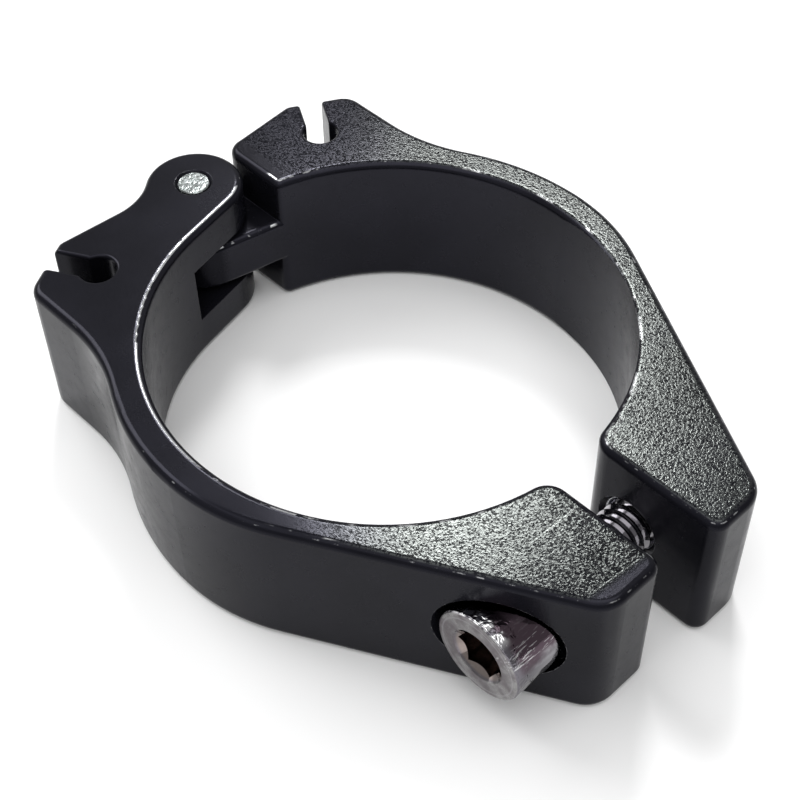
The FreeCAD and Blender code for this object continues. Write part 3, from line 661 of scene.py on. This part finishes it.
class CLAMP_OT_thread(bpy.types.Operator):
    """Wind the thread round the bolt's shank"""
    bl_idname = "clamp.thread"
    bl_label = "Bolt thread"

    def execute(self, context):
        thread = self.thread(context.scene.clamp_thread)
        thread.data.materials.append(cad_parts["clamp_bolt"].data.materials[0])
        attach(thread, "bolt")
        return {"FINISHED"}

    def thread(self, sizes):
        """A ridge wound round the shank, which fades out at both ends and is worn where the closing jaw
        leans on it."""
        first = BOLT_HIGH.y - sizes.start
        turns = sizes.length / sizes.pitch
        steps = round(turns * sizes.steps)
        half_foot = FOOT_SHARE * sizes.pitch
        half_crest = CREST_SHARE * sizes.pitch
        profile = ((sizes.root_radius, half_foot), (sizes.crest_radius, half_crest),
                   (sizes.crest_radius, -half_crest), (sizes.root_radius, -half_foot))
        shape = bmesh.new()
        corners = [shape.verts.new((BOLT_X + radius, first + along, 0.0)) for radius, along in profile]
        section = shape.faces.new(corners)
        centre = Vector((BOLT_X, first, 0.0))
        bmesh.ops.spin(shape, geom=[section], cent=centre, axis=(0.0, 1.0, 0.0),
                       dvec=(0.0, -sizes.length / steps, 0.0), angle=-2 * math.pi * turns, steps=steps,
                       use_merge=False, use_duplicate=False)
        bmesh.ops.recalc_face_normals(shape, faces=shape.faces)
        fade = FADE_SHARE * sizes.pitch
        for vertex in shape.verts:
            out = Vector((vertex.co.x - BOLT_X, 0.0, vertex.co.z))
            if out.length > (sizes.root_radius + sizes.crest_radius) / 2:
                ends = min(first - vertex.co.y, vertex.co.y - (first - sizes.length)) + half_crest
                share = max(0.0, min(1.0, ends / fade))
                radius = sizes.root_radius + share * (out.length - sizes.root_radius)
                out.normalize()
                shift = math.tan(sizes.lean) * max(0.0, vertex.co.y - sizes.lean_start)
                room = shift * out.x + math.sqrt(sizes.hole_radius ** 2 - (shift * out.z) ** 2)
                radius = min(radius, room)
                vertex.co.x = BOLT_X + out.x * radius
                vertex.co.z = out.z * radius

        bmesh.ops.scale(shape, vec=(MM,) * 3, verts=shape.verts)
        mesh = bpy.data.meshes.new("bolt_thread")
        shape.to_mesh(mesh)
        shape.free()
        piece = bpy.data.objects.new("bolt_thread", mesh)
        bpy.context.scene.collection.objects.link(piece)
        return piece


class CLAMP_OT_stage(bpy.types.Operator):
    """Set the floor, the lights and the camera"""
    bl_idname = "clamp.stage"
    bl_label = "Stage"

    def execute(self, context):
        settings = context.scene.clamp_stage
        self.floor(context, settings)
        self.lights(context)
        self.air(context, settings)
        self.camera(context, settings)
        context.scene.view_settings.view_transform = "Standard"
        return {"FINISHED"}

    def floor(self, context, settings):
        shape = bmesh.new()
        bmesh.ops.create_circle(shape, cap_ends=True, segments=FLOOR_CORNERS, radius=FLOOR_RADIUS)
        bmesh.ops.translate(shape, vec=(0.0, 0.0, CAD_BOX[0].z - FLOOR_GAP * MM), verts=shape.verts)
        mesh = bpy.data.meshes.new("floor")
        shape.to_mesh(mesh)
        shape.free()
        floor = bpy.data.objects.new("floor", mesh)
        context.scene.collection.objects.link(floor)
        material, _, shader = new_material("pale_floor")
        shader.inputs["Base Color"].default_value = settings.floor
        shader.inputs["Roughness"].default_value = FLOOR_ROUGHNESS
        mesh.materials.append(material)

    def lights(self, context):
        centre = Vector((0.0, 0.0, 0.0))
        for name, place, size, power in LAMPS:
            lamp = bpy.data.lights.new(name, "AREA")
            lamp.shape = "RECTANGLE"
            lamp.size, lamp.size_y = size
            lamp.energy = power
            holder = bpy.data.objects.new(name, lamp)
            holder.location = place
            holder.rotation_euler = (centre - holder.location).to_track_quat("-Z", "Y").to_euler()
            context.scene.collection.objects.link(holder)

    def air(self, context, settings):
        world = bpy.data.worlds.new("studio_air")
        world.use_nodes = True
        background = world.node_tree.nodes["Background"]
        background.inputs["Color"].default_value = (1.0, 1.0, 1.0, 1.0)
        background.inputs["Strength"].default_value = settings.air
        context.scene.world = world

    def camera(self, context, settings):
        data = bpy.data.cameras.new("camera")
        data.sensor_width = SENSOR_WIDTH
        data.lens = settings.lens
        data.clip_start = CLIP_NEAR
        data.clip_end = CLIP_FAR
        camera = bpy.data.objects.new("camera", data)
        aim = Vector(settings.camera_aim).normalized()
        level = aim.cross((0.0, 0.0, 1.0)).normalized()
        upright = level.cross(aim)
        right = math.cos(settings.camera_roll) * level + math.sin(settings.camera_roll) * upright
        up = math.cos(settings.camera_roll) * upright - math.sin(settings.camera_roll) * level
        turn = Matrix((right, up, -aim)).transposed()
        camera.matrix_world = Matrix.Translation(settings.camera_place) @ turn.to_4x4()
        context.scene.collection.objects.link(camera)
        context.scene.camera = camera


class CLAMP_PT_finish(bpy.types.Panel):
    """Lists the settings and operators of each part's finish and of the stage"""
    bl_idname = "CLAMP_PT_finish"
    bl_label = "Seatpost clamp"
    bl_space_type = "VIEW_3D"
    bl_region_type = "UI"
    bl_category = "Clamp"

    def draw(self, context):
        for name, operators in PANEL_ROWS:
            box = self.layout.box()
            settings = getattr(context.scene, name)
            for field in settings.__annotations__:
                box.prop(settings, field)
            for operator in operators:
                box.operator(operator.bl_idname)


SETTINGS = {
    "clamp_coat": CoatSettings,
    "clamp_metal": MetalSettings,
    "clamp_thread": ThreadSettings,
    "clamp_stage": StageSettings,
}
PANEL_ROWS = (
    ("clamp_coat", (CLAMP_OT_jaws,)),
    ("clamp_metal", (CLAMP_OT_pin, CLAMP_OT_bolt)),
    ("clamp_thread", (CLAMP_OT_thread,)),
    ("clamp_stage", (CLAMP_OT_stage,)),
)
CLASSES = (*SETTINGS.values(), CLAMP_OT_jaws, CLAMP_OT_pin, CLAMP_OT_bolt, CLAMP_OT_thread, CLAMP_OT_stage,
           CLAMP_PT_finish)


def register():
    for item in CLASSES:
        bpy.utils.register_class(item)
    for name, kind in SETTINGS.items():
        setattr(bpy.types.Scene, name, PointerProperty(type=kind))


def unregister():
    for name in SETTINGS:
        delattr(bpy.types.Scene, name)
    for item in reversed(CLASSES):
        bpy.utils.unregister_class(item)


def main():
    register()
    bpy.ops.clamp.jaws()
    bpy.ops.clamp.pin()
    bpy.ops.clamp.bolt()
    bpy.ops.clamp.thread()
    bpy.ops.clamp.stage()


if __name__ == "__main__":
    main()
